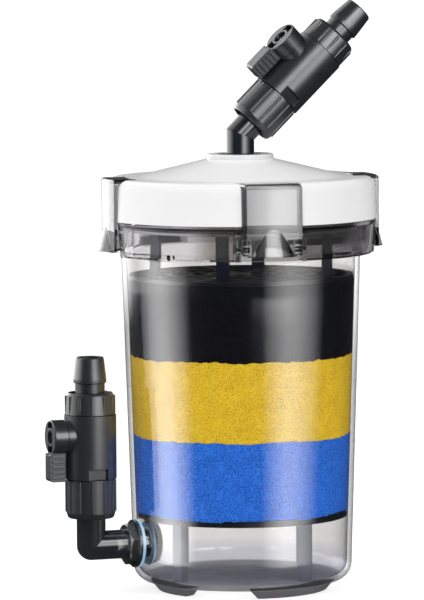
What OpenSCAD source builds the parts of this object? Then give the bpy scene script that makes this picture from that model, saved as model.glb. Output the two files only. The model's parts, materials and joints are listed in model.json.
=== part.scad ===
// Canister filter for an aquarium: a smoked clear barrel with three filter sponges, a white lid held by four
// swing latches, and a hose valve on a bulkhead elbow below and on a swivel elbow above.
// The origin is on the barrel's axis, in the plane of the feet. The inlet side is -X.

/* [Barrel] */
// Outer radius of the barrel wall at its rim
rim_r = 55; // [50:0.5:62]
// How far the wall draws in from the rim to where the rounded base ends
barrel_draft = 5; // [4:0.5:7]
// Height of the barrel from its underside to its rim
barrel_h = 166; // [156:0.1:180]
// Thickness of the barrel wall
wall = 2.2; // [1.8:0.1:2.6]
// Thickness of the barrel floor
floor_t = 2.6; // [2:0.1:3.4]
// Radius of the rounded edge of the base
base_round = 8; // [6:0.5:10]

/* [Collar] */
// How far the collar stands out from the barrel's rim
collar_out = 6.8; // [6.4:0.1:7.4]
// Height of the collar
collar_h = 15.9; // [14.5:0.1:18]
// How far the collar's skirt draws in towards its lower edge
collar_draft = 1.1; // [0.4:0.1:1.6]
// Thickness of the collar's skirt
skirt_t = 2; // [1.6:0.1:2.4]
// Thickness of the flange at the rim
flange_t = 2.2; // [1.8:0.1:3]
// Height of the thick lip at the skirt's lower edge
lip_h = 2.6; // [2:0.1:3.4]
// Thickness of that lip
lip_t = 3; // [2.6:0.1:4]
// Width of the four drain gaps in the lip
lip_gap = 3; // [2:0.1:4]

/* [Feet] */
// Height of the feet under the barrel
foot_h = 4; // [3:0.1:5]
// How far in from the barrel's base radius the feet's outer side lies
foot_in = 8; // [8:0.5:12]
// Radial width of a foot at its top
foot_w = 9; // [7:0.1:12]
// How far a foot's outer side draws in towards the floor
foot_draft = 3.2; // [1:0.1:4]
// Angle that each foot spans
foot_span = 79; // [50:1:85]
// Angle of the first foot's middle from +X
foot_turn = -66.6; // [-120:0.2:0]
// Number of feet
foot_n = 3; // [3:1:4]

/* [Lid] */
// How far the lid's lower edge stands past the collar
lid_over = 0.2; // [0:0.1:0.8]
// Height of the lid's side
lid_side_h = 18.9; // [18:0.1:23]
// How far the lid's side draws in towards its top
lid_draft = 0.6; // [0.2:0.1:1]
// Radius of the lid's rounded top edge
lid_round = 4.6; // [3:0.1:5.5]
// Thickness of the lid's shell
lid_t = 2.2; // [1.8:0.1:2.8]
// Distance from the lid's edge in to where the flat rim turns up into the cone
rim_flat = 13.5; // [13:0.1:15.5]
// Height of the cone
cone_h = 8.1; // [5:0.1:9]
// Radius of the boss at the lid's centre
boss_r = 15.3; // [14:0.1:18]
// Height of the boss above the cone
boss_h = 2.2; // [1.6:0.1:4]
// Depth of the lid's plug below its lower edge
plug_h = 5; // [4.6:0.1:7]
// Thickness of the plug ring
plug_t = 3.8; // [3.4:0.1:4.6]
// Gap between the plug and the barrel's mouth
plug_gap = 0.35; // [0.2:0.05:0.6]
// Thickness of the seal ring's section
seal_d = 2.4; // [1.8:0.1:2.6]
// Thickness of the ring under the lid that presses on the posts
press_rib_t = 2.4; // [2:0.1:4]

/* [Latches] */
// Width of a latch
latch_w = 27; // [24:0.5:30]
// Angle of the first latch from +X
latch_turn = -7.5; // [-20:0.5:20]
// Thickness of the latch's face
latch_t = 1.8; // [1.5:0.1:2.2]
// How far the latch's face stands proud of the lid
latch_proud = 1.2; // [0.8:0.1:1.4]
// Thickness of the hook over the lid
hook_t = 2.4; // [2:0.1:3]
// How far the hook reaches in over the lid from the latch's face
hook_reach = 11.5; // [10.5:0.1:12]
// How far the hook stands above the lid's rim
hook_proud = 0.1; // [0.1:0.1:1]
// Radius of the latch's rounded upper corners
latch_round = 2.6; // [1.5:0.1:4]
// Depth and width of the ribs along the latch's sides
latch_rib = 1.8; // [1.4:0.1:2]
// Gap between a latch and what is beside it
latch_gap = 0.4; // [0.25:0.05:0.6]
// How far in from the lid's edge the hinge pin lies
pin_in = 4.5; // [4.2:0.1:4.6]
// Height of the hinge pin above the collar's lower edge
pin_up = 5.4; // [5:0.1:6.2]
// Radius of the hinge pin
pin_r = 1.1; // [0.9:0.05:1.2]
// Radial clearance of a turning pin or stem in its hole
run_gap = 0.08; // [0.05:0.01:0.1]
// Radius of the hinge knuckle
knuckle_r = 2.1; // [1.9:0.1:2.2]
// Thickness of the cheeks beside a latch
cheek_t = 2.4; // [2:0.1:3.2]
// Height of the finger scoop
scoop_h = 12.7; // [10:0.1:13.5]
// How far the scoop's lip stands out from the latch's face
scoop_out = 3.3; // [2.5:0.1:3.8]
// Radius of the scoop's lip
scoop_r = 14; // [13:0.5:16]

/* [Sponges and frames] */
// Thickness of the lower, blue sponge
blue_t = 35.3; // [30:0.1:38]
// Thickness of the middle, yellow sponge
yellow_t = 36.5; // [30:0.1:38]
// Thickness of the upper, black sponge
black_t = 34.4; // [28:0.1:36]
// Gap between the sponges and the barrel wall
sponge_gap = 0.6; // [0.3:0.1:1.5]
// Height of the support's legs
leg_h = 26.9; // [26.5:0.1:32]
// Thickness of the support plate
plate_t = 2.8; // [2:0.1:4]
// Thickness of the upper grate
grate_t = 1.8; // [1.4:0.1:3]
// How far in from the barrel's rim radius the legs and posts stand
post_in = 15; // [12:0.5:19]
// Width of a leg or post
post_w = 5.4; // [4:0.1:7]
// Thickness of a leg or post
post_t = 4; // [3:0.1:5]
// Angle of the first leg from +X
leg_turn = 24; // [20:1:30]
// Angle of the first post from +X
post_turn = -32.6; // [-40:0.2:-25]
// Direction of the short bars near the tops of two posts, from +X
bar_turn = 12; // [0:1:25]
// Length of a bar on its inner side
bar_long = 12.5; // [8:0.5:14]
// Length of a bar on its outer side
bar_short = 7.5; // [4:0.5:8]
// Width of the rings in the grates
ring_w = 2.6; // [2:0.1:3.5]
// Number of rings in the grates, the rim included
ring_n = 6; // [4:1:7]

/* [Water pipes] */
// Radius of the water bore through the elbows and valves
bore_r = 4.5; // [4:0.1:4.6]
// Outer radius of the inlet elbow's legs
leg_r = 6.55; // [6.2:0.05:6.6]
// Outer radius of the outlet elbow's legs
out_leg_r = 6.4; // [6.2:0.05:6.6]
// Height of the inlet above the floor on which the feet stand
port_z = 23.1; // [23:0.1:23.4]
// Distance of the inlet valve's axis from the barrel's wall
valve_out = 23.05; // [21:0.05:29]
// Length of the inlet elbow's upper leg, up to the union nut
in_rise = 13; // [12:0.1:20]
// Height of the outlet elbow's bend above the lid's boss
bend_up = 8.7; // [8:0.1:16]
// Length of the outlet elbow's slanted leg, up to the union nut
out_rise = 6.8; // [6.6:0.1:14]
// Angle by which the outlet elbow leans from upright
lean = 45; // [40:1:50]
// Direction in which the outlet leans, from +X
outlet_turn = -7.6; // [-180:0.2:180]
// Turn of the outlet valve about its own axis
valve_roll = 13.2; // [-180:0.2:180]
// Clearance between pieces that are screwed or pressed together
fit = 0.05; // [0.03:0.01:0.08]

/* [Inlet bulkhead] */
// Radius of the flat pad around the inlet hole
pad_r = 10.9; // [10.7:0.1:11]
// Radius of the flat inside the barrel around the inlet hole
inner_pad_r = 10.2; // [10:0.1:10.2]
// How far the pad stands out from the wall
pad_out = 0.45; // [0.45:0.05:2]
// Thickness of the outer washer
washer_t = 1.4; // [1.2:0.1:2.4]
// Radius of the outer washer
washer_r = 10.8; // [10.6:0.05:10.85]
// Radius of the hexagon nuts over their corners
hex_r = 10.1; // [9.6:0.1:10.3]
// Thickness of the outer nut, its flange included
outer_nut_t = 5.1; // [4:0.1:6]
// Radius of the outer nut's flange
nut_flange_r = 10.9; // [10.6:0.1:11]
// Thickness of the outer nut's flange
nut_flange_t = 1.2; // [0.8:0.1:1.6]
// Thickness of the inner nut
inner_nut_t = 3.6; // [3:0.1:5]
// Thickness of the inner washer
inner_washer_t = 1; // [0.8:0.1:2]
// Radius of the inner washer
inner_washer_r = 10.1; // [9.9:0.1:10.1]

/* [Outlet swivel] */
// Radius of the flange that sits in the lid's boss
swivel_flange_r = 10.2; // [9.8:0.1:11]
// Thickness of that flange
swivel_flange_t = 1.8; // [1.2:0.1:2]
// Radius of the swivel's stem
swivel_stem_r = 7.2; // [7:0.1:7.4]
// Length of the stem below the flange
swivel_stem_l = 15; // [14:0.1:18]
// Outer radius of the tube under the lid that holds the stem
swivel_tube_r = 10.8; // [10:0.1:12]
// Length of that tube below the boss's recess
swivel_tube_l = 8.4; // [7:0.1:9]
// Thickness of the ring nut under the tube
ring_nut_t = 4.2; // [3:0.1:5]
// Thickness of the small O-rings' section
oring_d = 1.7; // [1.4:0.05:1.8]

/* [Valves] */
// Radius of the valve body
valve_r = 11.8; // [11.6:0.1:12.2]
// Length of the valve body
valve_l = 29; // [28:0.1:34]
// Height of the lever's axis above the body's lower end
ball_z = 19.3; // [18.5:0.1:19.6]
// Radius of the ball
ball_r = 7; // [6.8:0.05:7.1]
// Radius of the cavity that the ball and seats sit in
cavity_r = 7.6; // [7.5:0.05:7.8]
// Length of the union nut
union_l = 17.9; // [17:0.1:21]
// Outer radius of the union nut
union_r = 11.1; // [10.9:0.1:11.4]
// Length of the hose nut
hose_nut_l = 9.8; // [9.4:0.1:12]
// Outer radius of the hose nut at its upper end
hose_nut_r = 10.8; // [10.4:0.1:11.2]
// Radius of the threaded necks of the valve body
neck_r = 9.4; // [9.2:0.1:9.6]
// Radius of the socket that takes the elbow's spigot
socket_r = 7; // [6.9:0.05:7.1]
// Number of grip ribs on a nut
rib_n = 12; // [8:1:14]
// Radius of a grip rib
rib_r = 0.6; // [0.4:0.05:0.8]

/* [Hose tail] */
// Radius of the hose tail's land, its widest place
tail_r = 7.45; // [7:0.05:7.9]
// Radius of the hose tail's tip
tip_r = 6.4; // [6.1:0.05:6.7]
// Radius of the tail's neck
tail_neck_r = 6.7; // [6.2:0.05:6.9]
// Length of the neck that shows above the hose nut
tail_neck_l = 4.2; // [3:0.1:6]
// Length of the land
land_l = 1.5; // [1.4:0.1:3]
// Length of the cone from the land to the tip
cone_l = 10; // [8:0.1:14]
// Radius of the tail's bore
tail_bore_r = 4.75; // [4.4:0.05:4.9]

/* [Levers] */
// Radius of the lever's round head
head_r = 7.8; // [7.4:0.1:8.2]
// Distance of the lever's face from the valve's axis
face_at = 19.3; // [18.5:0.1:20.5]
// Gap between the lever and the valve body's boss
lever_gap = 0.25; // [0.15:0.05:0.4]
// Length of the grip from the lever's axis
grip_l = 20.1; // [16:0.1:22]
// Width of the grip
grip_w = 6.8; // [6:0.1:9]
// How far the grip stands out from the lever's face
grip_out = 1.1; // [0.3:0.1:2]
// Depth of the grip
grip_d = 7.3; // [4.5:0.1:7.5]
// Radius of the stem
stem_r = 2.6; // [2.4:0.05:2.8]
// Distance between the grip's ridges
ridge_pitch = 2.35; // [1.6:0.05:2.4]
// Number of ridges on each side of the grip
ridge_n = 5; // [3:1:5]

/* [Hidden] */

$fn = 96;
eps = 0.01;
arc_steps = 8;
smoke = [0.55, 0.54, 0.57, 0.5];
clear = [0.85, 0.86, 0.87, 0.4];
charcoal = [0.2, 0.205, 0.215];
navy = [0.13, 0.14, 0.2];

// Radii that follow the barrel's rim
base_r = rim_r - barrel_draft;
collar_r = rim_r + collar_out;
lid_r = collar_r + lid_over;
cone_r = lid_r - rim_flat;
pin_at = lid_r - pin_in;
post_at = rim_r - post_in;
foot_r = base_r - foot_in;

// Heights that more than one piece shares
rim_z = foot_h + barrel_h;
floor_z = foot_h + floor_t;
collar_z = rim_z - collar_h;
collar_low_r = collar_r - collar_draft;
lid_top_z = rim_z + lid_side_h;
lid_top_r = lid_r - lid_draft;
boss_z = lid_top_z + cone_h;
boss_top_z = boss_z + boss_h;
plug_z = rim_z - plug_h;
plug_r = wall_r(plug_z) - wall - plug_gap;
plate_z = floor_z + leg_h;
blue_z = plate_z + plate_t;
yellow_z = blue_z + blue_t;
black_z = yellow_z + yellow_t;
grate_z = black_z + black_t;

// The latch and the pocket around it
latch_n = 4;
pin_z = collar_z + pin_up;
face_out = lid_r + latch_proud;
face_in = face_out - latch_t;
hook_top = lid_top_z + hook_proud;
hook_z = hook_top - hook_t;
hook_in = face_out - hook_reach;
pocket_side = face_in - latch_rib - latch_gap;
pocket_top = hook_z - latch_gap / 2;
slot_in = pin_at - knuckle_r - 0.3;
latch_z = pin_z - 2.6;
slot_w = latch_w + 2 * latch_gap;
pin_in_cheek = cheek_t - 0.8;
pin_hole_l = cheek_t - 0.5;

// The inlet bulkhead and valve, measured from the barrel's axis
valve_at = wall_r(port_z) + valve_out;
pad_face = wall_r(port_z) + pad_out;
pad_back = sqrt(pow(wall_r(port_z - inner_pad_r) - wall, 2) - inner_pad_r * inner_pad_r) - 0.1;
pad_mid = wall_r(port_z) - wall / 2;
outer_nut_at = pad_face + washer_t;
inner_nut_at = pad_back - inner_washer_t;

// The valve, in a frame whose Z runs up its axis from the body's lower end
union_gap = 0.25;
union_lip_t = 2.7;
union_recess = 1.6;
union_lip_z = -union_l + union_recess + union_lip_t;
spigot_flange_t = 2.5;
neck_low_z = union_lip_z + spigot_flange_t + 2 * fit;
spigot_r = socket_r - fit * 2;
spigot_top_z = -1.2;
seat_z = ball_z - ball_r - 0.3;
seat_top_z = ball_z + ball_r + 0.3;
neck_top_z = valve_l + hose_nut_l * 0.63;
hose_lip_t = 1.8;
hose_nut_top = valve_l + union_gap + hose_nut_l;
tail_z = hose_nut_top + tail_neck_l;
lever_in = valve_r + 0.8 + lever_gap;
lever_boss_r = head_r - 0.3;
hose_clear = 8.9;

function wall_r(z) = base_r + (rim_r - base_r) * (z - foot_h - base_round) / (barrel_h - base_round);
function sponge_r(z) = wall_r(z) - wall - sponge_gap;
function arc(x, y, r, from, to, n = arc_steps) =
    [for (i = [0:n]) let (a = from + (to - from) * i / n) [x + r * cos(a), y + r * sin(a)]];

// ---- Shapes that repeat ----

module ring(r_in, r_out, z, h)
    translate([0, 0, z])
        difference() {
            cylinder(h = h, r = r_out);
            translate([0, 0, -1]) cylinder(h = h + 2, r = r_in);
        }

module oring(r_mid, d, z)
    translate([0, 0, z])
        rotate_extrude() translate([r_mid, 0]) circle(d = d, $fn = 24);

// A grate of rings and spokes, with a solid rim
module grate(r, z, t) {
    pitch = (r - ring_w) / (ring_n - 0.5);
    for (i = [0:ring_n - 1])
        ring(max(r - ring_w - i * pitch, eps), r - i * pitch, z, t);
    for (a = [0:45:179])
        rotate([0, 0, a])
            translate([-r + ring_w / 2, -ring_w / 2, z]) cube([2 * r - ring_w, ring_w, t]);
}

// An upright leg or post, its bigger side facing the barrel wall
module post(z, h)
    translate([post_at - post_t / 2, -post_w / 2, z]) cube([post_t, post_w, h]);

// Places its children at each latch
module each_latch()
    for (i = [0:latch_n - 1])
        rotate([0, 0, latch_turn + i * 360 / latch_n]) children();

// ---- Barrel, feet and lid ----

module barrel_solid()
    rotate_extrude()
        polygon(concat([[0, foot_h]],
                       arc(base_r - base_round, foot_h + base_round, base_round, -90, 0),
                       [[rim_r, rim_z], [0, rim_z]]));

module barrel_room() {
    r = max(base_round - wall, 1);
    top_r = wall_r(rim_z + 1) - wall;
    rotate_extrude()
        polygon(concat([[0, floor_z]],
                       arc(wall_r(floor_z + r) - wall - r, floor_z + r, r, -90, 0),
                       [[top_r, rim_z + 1], [0, rim_z + 1]]));
}

module collar_ring()
    rotate_extrude()
        polygon([[rim_r - wall / 2, rim_z], [collar_r - 0.5, rim_z], [collar_r, rim_z - 0.5],
                 [collar_low_r, collar_z + 1], [collar_low_r - 1, collar_z],
                 [collar_low_r - lip_t, collar_z], [collar_low_r - lip_t, collar_z + lip_h],
                 [collar_low_r - skirt_t, collar_z + lip_h],
                 [collar_r - skirt_t, rim_z - flange_t], [rim_r - wall, rim_z - flange_t]]);

module cheeks() {
    x0 = rim_r - wall;
    intersection() {
        for (side = [-1, 1])
            translate([x0, side * (slot_w + cheek_t) / 2 - cheek_t / 2, collar_z])
                cube([collar_r - x0 + 1, cheek_t, collar_h - eps]);
        translate([0, 0, collar_z]) cylinder(h = collar_h, r1 = collar_low_r, r2 = collar_r);
    }
}

// A flat pad around the inlet hole, from one distance from the barrel's axis to another
module pad(outer, inner, r)
    translate([-outer, 0, port_z]) rotate([0, 90, 0]) cylinder(h = outer - inner, r = r);

module barrel()
    color(smoke)
        difference() {
            union() {
                barrel_solid();
                collar_ring();
                each_latch() cheeks();
                pad(pad_face, pad_mid, pad_r);
            }
            difference() {
                barrel_room();
                pad(pad_mid, pad_back, inner_pad_r);
            }
            each_latch() {
                translate([slot_in, -slot_w / 2, collar_z - 1]) cube([10, slot_w, collar_h + 2]);
                translate([pin_at, 0, pin_z]) rotate([90, 0, 0])
                    cylinder(h = slot_w + 2 * pin_hole_l, r = pin_r + run_gap, center = true);
                rotate([0, 0, 180 / latch_n])
                    translate([collar_low_r - lip_t - 1, -lip_gap / 2, collar_z - 1])
                        cube([lip_t + 3, lip_gap, lip_h + 1]);
            }
            pad(pad_face + 1, pad_back - 1, leg_r + 0.3);
        }

// A foot, its ends slanting in towards the floor
module foot() {
    cut = 14;
    slant = 42;
    difference() {
        rotate([0, 0, -foot_span / 2])
            rotate_extrude(angle = foot_span)
                polygon([[foot_r - foot_w, 0], [foot_r - foot_draft, 0], [foot_r, foot_h],
                         [foot_r - foot_w, foot_h]]);
        for (side = [-1, 1])
            rotate([0, 0, side * foot_span / 2])
                translate([foot_r - foot_w / 2, 0, foot_h]) rotate([side * -slant, 0, 0])
                    translate([-foot_w, side > 0 ? 0 : -cut, -cut]) cube([2 * foot_w, cut, 2 * cut]);
    }
}

module feet()
    color([0.3, 0.3, 0.31])
        for (i = [0:foot_n - 1])
            rotate([0, 0, foot_turn + i * 360 / foot_n]) foot();

// The lid with its plug, its pressing ring and the swivel's tube, as one turned section
module lid_shell() {
    side = lid_r - lid_t;
    top = lid_top_z - lid_t;
    r = max(lid_round - lid_t, 1);
    slope = (boss_z - lid_top_z) / (cone_r - boss_r);
    rib_in = post_at - press_rib_t / 2;
    rib_out = post_at + press_rib_t / 2;
    groove = seal_mid_r - seal_d / 2;
    bore = swivel_stem_r + run_gap;
    rotate_extrude()
        polygon(concat([[lid_r, rim_z], [lid_top_r, lid_top_z - lid_round]],
                       arc(lid_top_r - lid_round, lid_top_z - lid_round, lid_round, 0, 90),
                       [[cone_r + 1.5, lid_top_z], [cone_r - 1.5, lid_top_z + 0.35], [boss_r, boss_z],
                        [boss_r, boss_top_z - 0.8], [boss_r - 0.25, boss_top_z - 0.25],
                        [boss_r - 0.8, boss_top_z], [swivel_flange_r + 0.3, boss_top_z],
                        [swivel_flange_r + 0.3, swivel_seat_z], [bore, swivel_seat_z],
                        [bore, swivel_seat_z - swivel_tube_l], [swivel_tube_r, swivel_seat_z - swivel_tube_l],
                        [swivel_tube_r, boss_z - lid_t], [boss_r, boss_z - lid_t],
                        [rib_in, top + slope * (cone_r - rib_in)], [rib_in, plug_z], [rib_out, plug_z],
                        [rib_out, top + slope * (cone_r - rib_out)], [plug_r - plug_t, top],
                        [plug_r - plug_t, plug_z], [plug_r, plug_z], [plug_r, seal_z - seal_d / 2],
                        [groove, seal_z - seal_d / 2], [groove, seal_z + seal_d / 2],
                        [plug_r, seal_z + seal_d / 2], [plug_r, top]],
                       arc(side - r - lid_draft, top - r, r, 90, 0),
                       [[side, rim_z]]));
}

// Walls under and beside a pocket, which end inside the shell's thickness
module lid_pocket_walls() {
    in = lid_t / 2;
    intersection() {
        union() {
            translate([pocket_side - lid_t - 2, -slot_w / 2 - lid_t, rim_z + 0.4])
                cube([lid_r, slot_w + 2 * lid_t, lid_side_h]);
            translate([hook_in - latch_gap - lid_t - 2, -slot_w / 2 - lid_t, pocket_top - lid_t])
                cube([lid_r, slot_w + 2 * lid_t, lid_t + hook_t]);
        }
        rotate_extrude()
            polygon([[boss_r, rim_z - 1], [lid_r - in, rim_z - 1], [lid_top_r - in, lid_top_z - lid_round],
                     [lid_top_r - lid_round, lid_top_z - in], [boss_r, lid_top_z - in]]);
    }
}

module lid_pocket()
    intersection() {
        translate([0, -slot_w / 2, rim_z - 1]) cube([lid_r + 5, slot_w, lid_side_h + 5]);
        union() {
            ring(pocket_side, lid_r + 4, rim_z - 1, lid_side_h + 4);
            ring(hook_in - latch_gap, lid_r + 3, pocket_top, hook_t + 3);
            // eased edge between the pocket's side and top
            translate([0, 0, pocket_top - 1.4])
                difference() {
                    cylinder(h = 1.5, r = lid_r + 2);
                    translate([0, 0, -eps]) cylinder(h = 1.52, r1 = pocket_side + 0.1, r2 = pocket_side - 1.4);
                }
        }
    }

module lid()
    color([0.94, 0.94, 0.95])
        difference() {
            union() {
                lid_shell();
                each_latch() lid_pocket_walls();
            }
            each_latch() lid_pocket();
        }

swivel_seat_z = boss_top_z - swivel_flange_t - 0.7;
seal_z = plug_z + 1.2 + seal_d / 2;
seal_mid_r = wall_r(seal_z) - wall - seal_d / 2 - 0.02;

module lid_seal()
    color([0.16, 0.17, 0.2])
        oring(seal_mid_r, seal_d, seal_z);

// ---- Latch: a clear plate with a hook above and a hinge and finger scoop below ----

module latch_outline()
    rotate([90, 0, 90])
        linear_extrude(height = face_out + 5)
            polygon(concat([[-latch_w / 2, latch_z], [latch_w / 2, latch_z]],
                           arc(latch_w / 2 - latch_round, hook_top - latch_round, latch_round, 0, 90),
                           arc(latch_round - latch_w / 2, hook_top - latch_round, latch_round, 90, 180)));

module latch_plate() {
    edge = 1.4;
    intersection() {
        rotate_extrude()
            polygon(concat([[face_in, latch_z - 1], [face_out, latch_z - 1]],
                           arc(face_out - edge, hook_top - edge, edge, 0, 90, 4),
                           [[hook_in + 0.8, hook_top], [hook_in, hook_top - 0.9], [hook_in, hook_z],
                            [face_in, hook_z]]));
        latch_outline();
    }
}

module latch_ribs()
    intersection() {
        ring(face_in - latch_rib, face_in + latch_t / 2, latch_z + 0.4, hook_z - latch_z - 0.4 + hook_t / 2);
        for (side = [-1, 1])
            translate([0, side * (latch_w - latch_rib) / 2 - latch_rib / 2, latch_z])
                cube([face_out, latch_rib, hook_top - latch_z - latch_round]);
    }

lug_w = 3.2;
pin_l = pin_in_cheek + latch_gap + 0.4;

module latch_hinge()
    for (side = [-1, 1]) {
        translate([pin_at, side * (latch_w - lug_w) / 2, pin_z])
            rotate([90, 0, 0]) cylinder(h = lug_w, r = knuckle_r, center = true, $fn = 48);
        intersection() {
            translate([pin_at, side * (latch_w - lug_w) / 2 - lug_w / 2, latch_z + 0.5])
                cube([8, lug_w, knuckle_r + 4.2]);
            cylinder(h = lid_top_z, r = face_in + latch_t / 2);
        }
        translate([pin_at, side * (slot_w / 2 + pin_in_cheek - pin_l / 2), pin_z])
            rotate([90, 0, 0]) cylinder(h = pin_l, r = pin_r, center = true);
    }

scoop_at = face_out + scoop_out - scoop_r;
scoop_top_r = face_out - scoop_at - 0.1;
scoop_z = pin_z - 3.2;
scoop_t = 1.6;

module latch()
    color(clear)
        difference() {
            union() {
                latch_plate();
                latch_ribs();
                latch_hinge();
                difference() {
                    translate([scoop_at, 0, scoop_z]) cylinder(h = scoop_h, r1 = scoop_r, r2 = scoop_top_r);
                    translate([0, 0, scoop_z - 1]) cylinder(h = scoop_h + 2, r = face_in);
                }
            }
            // hollow behind the scoop
            difference() {
                translate([scoop_at, 0, scoop_z - eps])
                    cylinder(h = scoop_h - scoop_t, r1 = scoop_r - scoop_t, r2 = scoop_top_r - scoop_t);
                translate([0, 0, scoop_z - 1]) cylinder(h = scoop_h + 2, r = face_in - 0.5);
            }
        }

module latch_front() rotate([0, 0, latch_turn + 270]) latch();
module latch_right() rotate([0, 0, latch_turn]) latch();
module latch_rear() rotate([0, 0, latch_turn + 90]) latch();
module latch_left() rotate([0, 0, latch_turn + 180]) latch();

// ---- Sponges and the two frames that hold them ----

module sponge(z, t)
    translate([0, 0, z]) cylinder(h = t, r1 = sponge_r(z), r2 = sponge_r(z + t));

module sponge_blue() color([0.13, 0.38, 0.82]) sponge(blue_z, blue_t);
module sponge_yellow() color([0.9, 0.76, 0.2]) sponge(yellow_z, yellow_t);
module sponge_black() color([0.06, 0.06, 0.08]) sponge(black_z, black_t);

module media_support()
    color(navy) {
        grate(sponge_r(plate_z), plate_z, plate_t);
        for (a = [0:90:359])
            rotate([0, 0, leg_turn + a]) post(floor_z, leg_h + plate_t / 2);
    }

// The upper grate, pressed down by the lid through four posts, two of which carry a short bar
module media_press() {
    bar_z = plug_z - 7.2;
    bar_t = 3;
    color(navy) {
        grate(sponge_r(grate_z), grate_z, grate_t);
        for (a = [0:90:359])
            rotate([0, 0, post_turn + a]) post(grate_z, plug_z - grate_z);
        for (a = [0, 180])
            rotate([0, 0, post_turn + a]) translate([post_at, 0, bar_z]) rotate([0, 0, bar_turn - post_turn])
                translate([-bar_long, -1, 0]) cube([bar_long + bar_short, 2, bar_t]);
    }
}

// ---- Valve pieces, each in the valve's own frame ----

module valve_body()
    color(charcoal)
        difference() {
            union() {
                cylinder(h = valve_l, r = valve_r);
                translate([0, 0, neck_low_z]) cylinder(h = -neck_low_z + eps, r = neck_r);
                cylinder(h = neck_top_z, r = neck_r);
                translate([0, 0, ball_z]) rotate([0, -90, 0]) cylinder(h = valve_r + 0.8, r = lever_boss_r);
            }
            translate([0, 0, neck_low_z - 1]) cylinder(h = 100, r = bore_r);
            translate([0, 0, neck_low_z - 1]) cylinder(h = 1 - neck_low_z, r = socket_r);
            translate([0, 0, seat_z]) cylinder(h = 100, r = cavity_r);
            translate([0, 0, ball_z]) rotate([0, -90, 0]) cylinder(h = valve_r + 5, r = stem_r + run_gap);
            // flat windows at the lower end, deeper towards one side
            for (turn = [0, 180])
                rotate([0, 0, turn + window_turn])
                    translate([-8, -valve_r - 3, -1]) cube([8 + window_side, 3 + window_cut, window_h + 1]);
        }

window_turn = 9;
window_side = 2.9;
window_cut = 1.8;
window_h = 4.9;

module hose_tail() {
    flange_r = 8.6;
    tip_z = tail_z + 0.3 + land_l + cone_l;
    color(charcoal)
        difference() {
            rotate_extrude()
                polygon([[tail_bore_r, seat_top_z + seat_l], [cavity_r - fit, seat_top_z + seat_l],
                         [cavity_r - fit, neck_top_z], [flange_r, neck_top_z],
                         [flange_r, neck_top_z + 0.9], [tail_neck_r, neck_top_z + 1.2],
                         [tail_neck_r, tail_z], [tail_r, tail_z + 0.3], [tail_r, tail_z + 0.3 + land_l],
                         [tip_r, tip_z - 0.5], [tip_r - 0.5, tip_z], [tail_bore_r, tip_z]]);
        }
}

seat_l = 1.2;

module ball_seat(z)
    difference() {
        ring(tail_bore_r, cavity_r - fit, z, seat_l + 1.6);
        translate([0, 0, ball_z]) sphere(r = ball_r + run_gap);
    }

module ball_seats()
    color([0.92, 0.92, 0.9]) {
        ball_seat(seat_z);
        ball_seat(seat_top_z + seat_l - seat_l - 1.6);
    }

module valve_ball()
    color([0.85, 0.85, 0.86])
        translate([0, 0, ball_z])
            difference() {
                sphere(r = ball_r);
                cylinder(h = 3 * ball_r, r = bore_r - 0.2, center = true);
                translate([-ball_r - 1, -tang_t / 2 - fit, -ball_r])
                    cube([tang_l + 1, tang_t + 2 * fit, 2 * ball_r]);
            }

tang_t = 1.8;
tang_l = 1.9;

module stem() {
    inner = ball_r - tang_l + fit;
    color(charcoal)
        translate([0, 0, ball_z])
            difference() {
                union() {
                    translate([-ball_r - 0.1, 0, 0]) rotate([0, -90, 0])
                        cylinder(h = lever_in + 1.5 - ball_r - 0.1, r = stem_r);
                    intersection() {
                        translate([-ball_r - 0.2, -tang_t / 2, -stem_r])
                            cube([ball_r + 0.2 - inner, tang_t, 2 * stem_r]);
                        rotate([0, -90, 0]) cylinder(h = 2 * ball_r, r = stem_r);
                    }
                }
                translate([-10, 0, 0]) rotate([0, -90, 0]) cylinder(h = 20, r = screw_r + fit);
                translate([-cavity_r - 1.2, 0, 0]) rotate([0, -90, 0])
                    ring(stem_r - stem_oring_d, stem_r + 1, 0, stem_oring_d);
            }
}

stem_oring_d = 1.1;
screw_r = 1;

module stem_oring()
    color([0.1, 0.1, 0.1])
        translate([-cavity_r - 1.2 - stem_oring_d / 2, 0, ball_z]) rotate([0, -90, 0])
            oring(stem_r + run_gap - stem_oring_d / 2 - 0.03, stem_oring_d - 0.02, 0);

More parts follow.
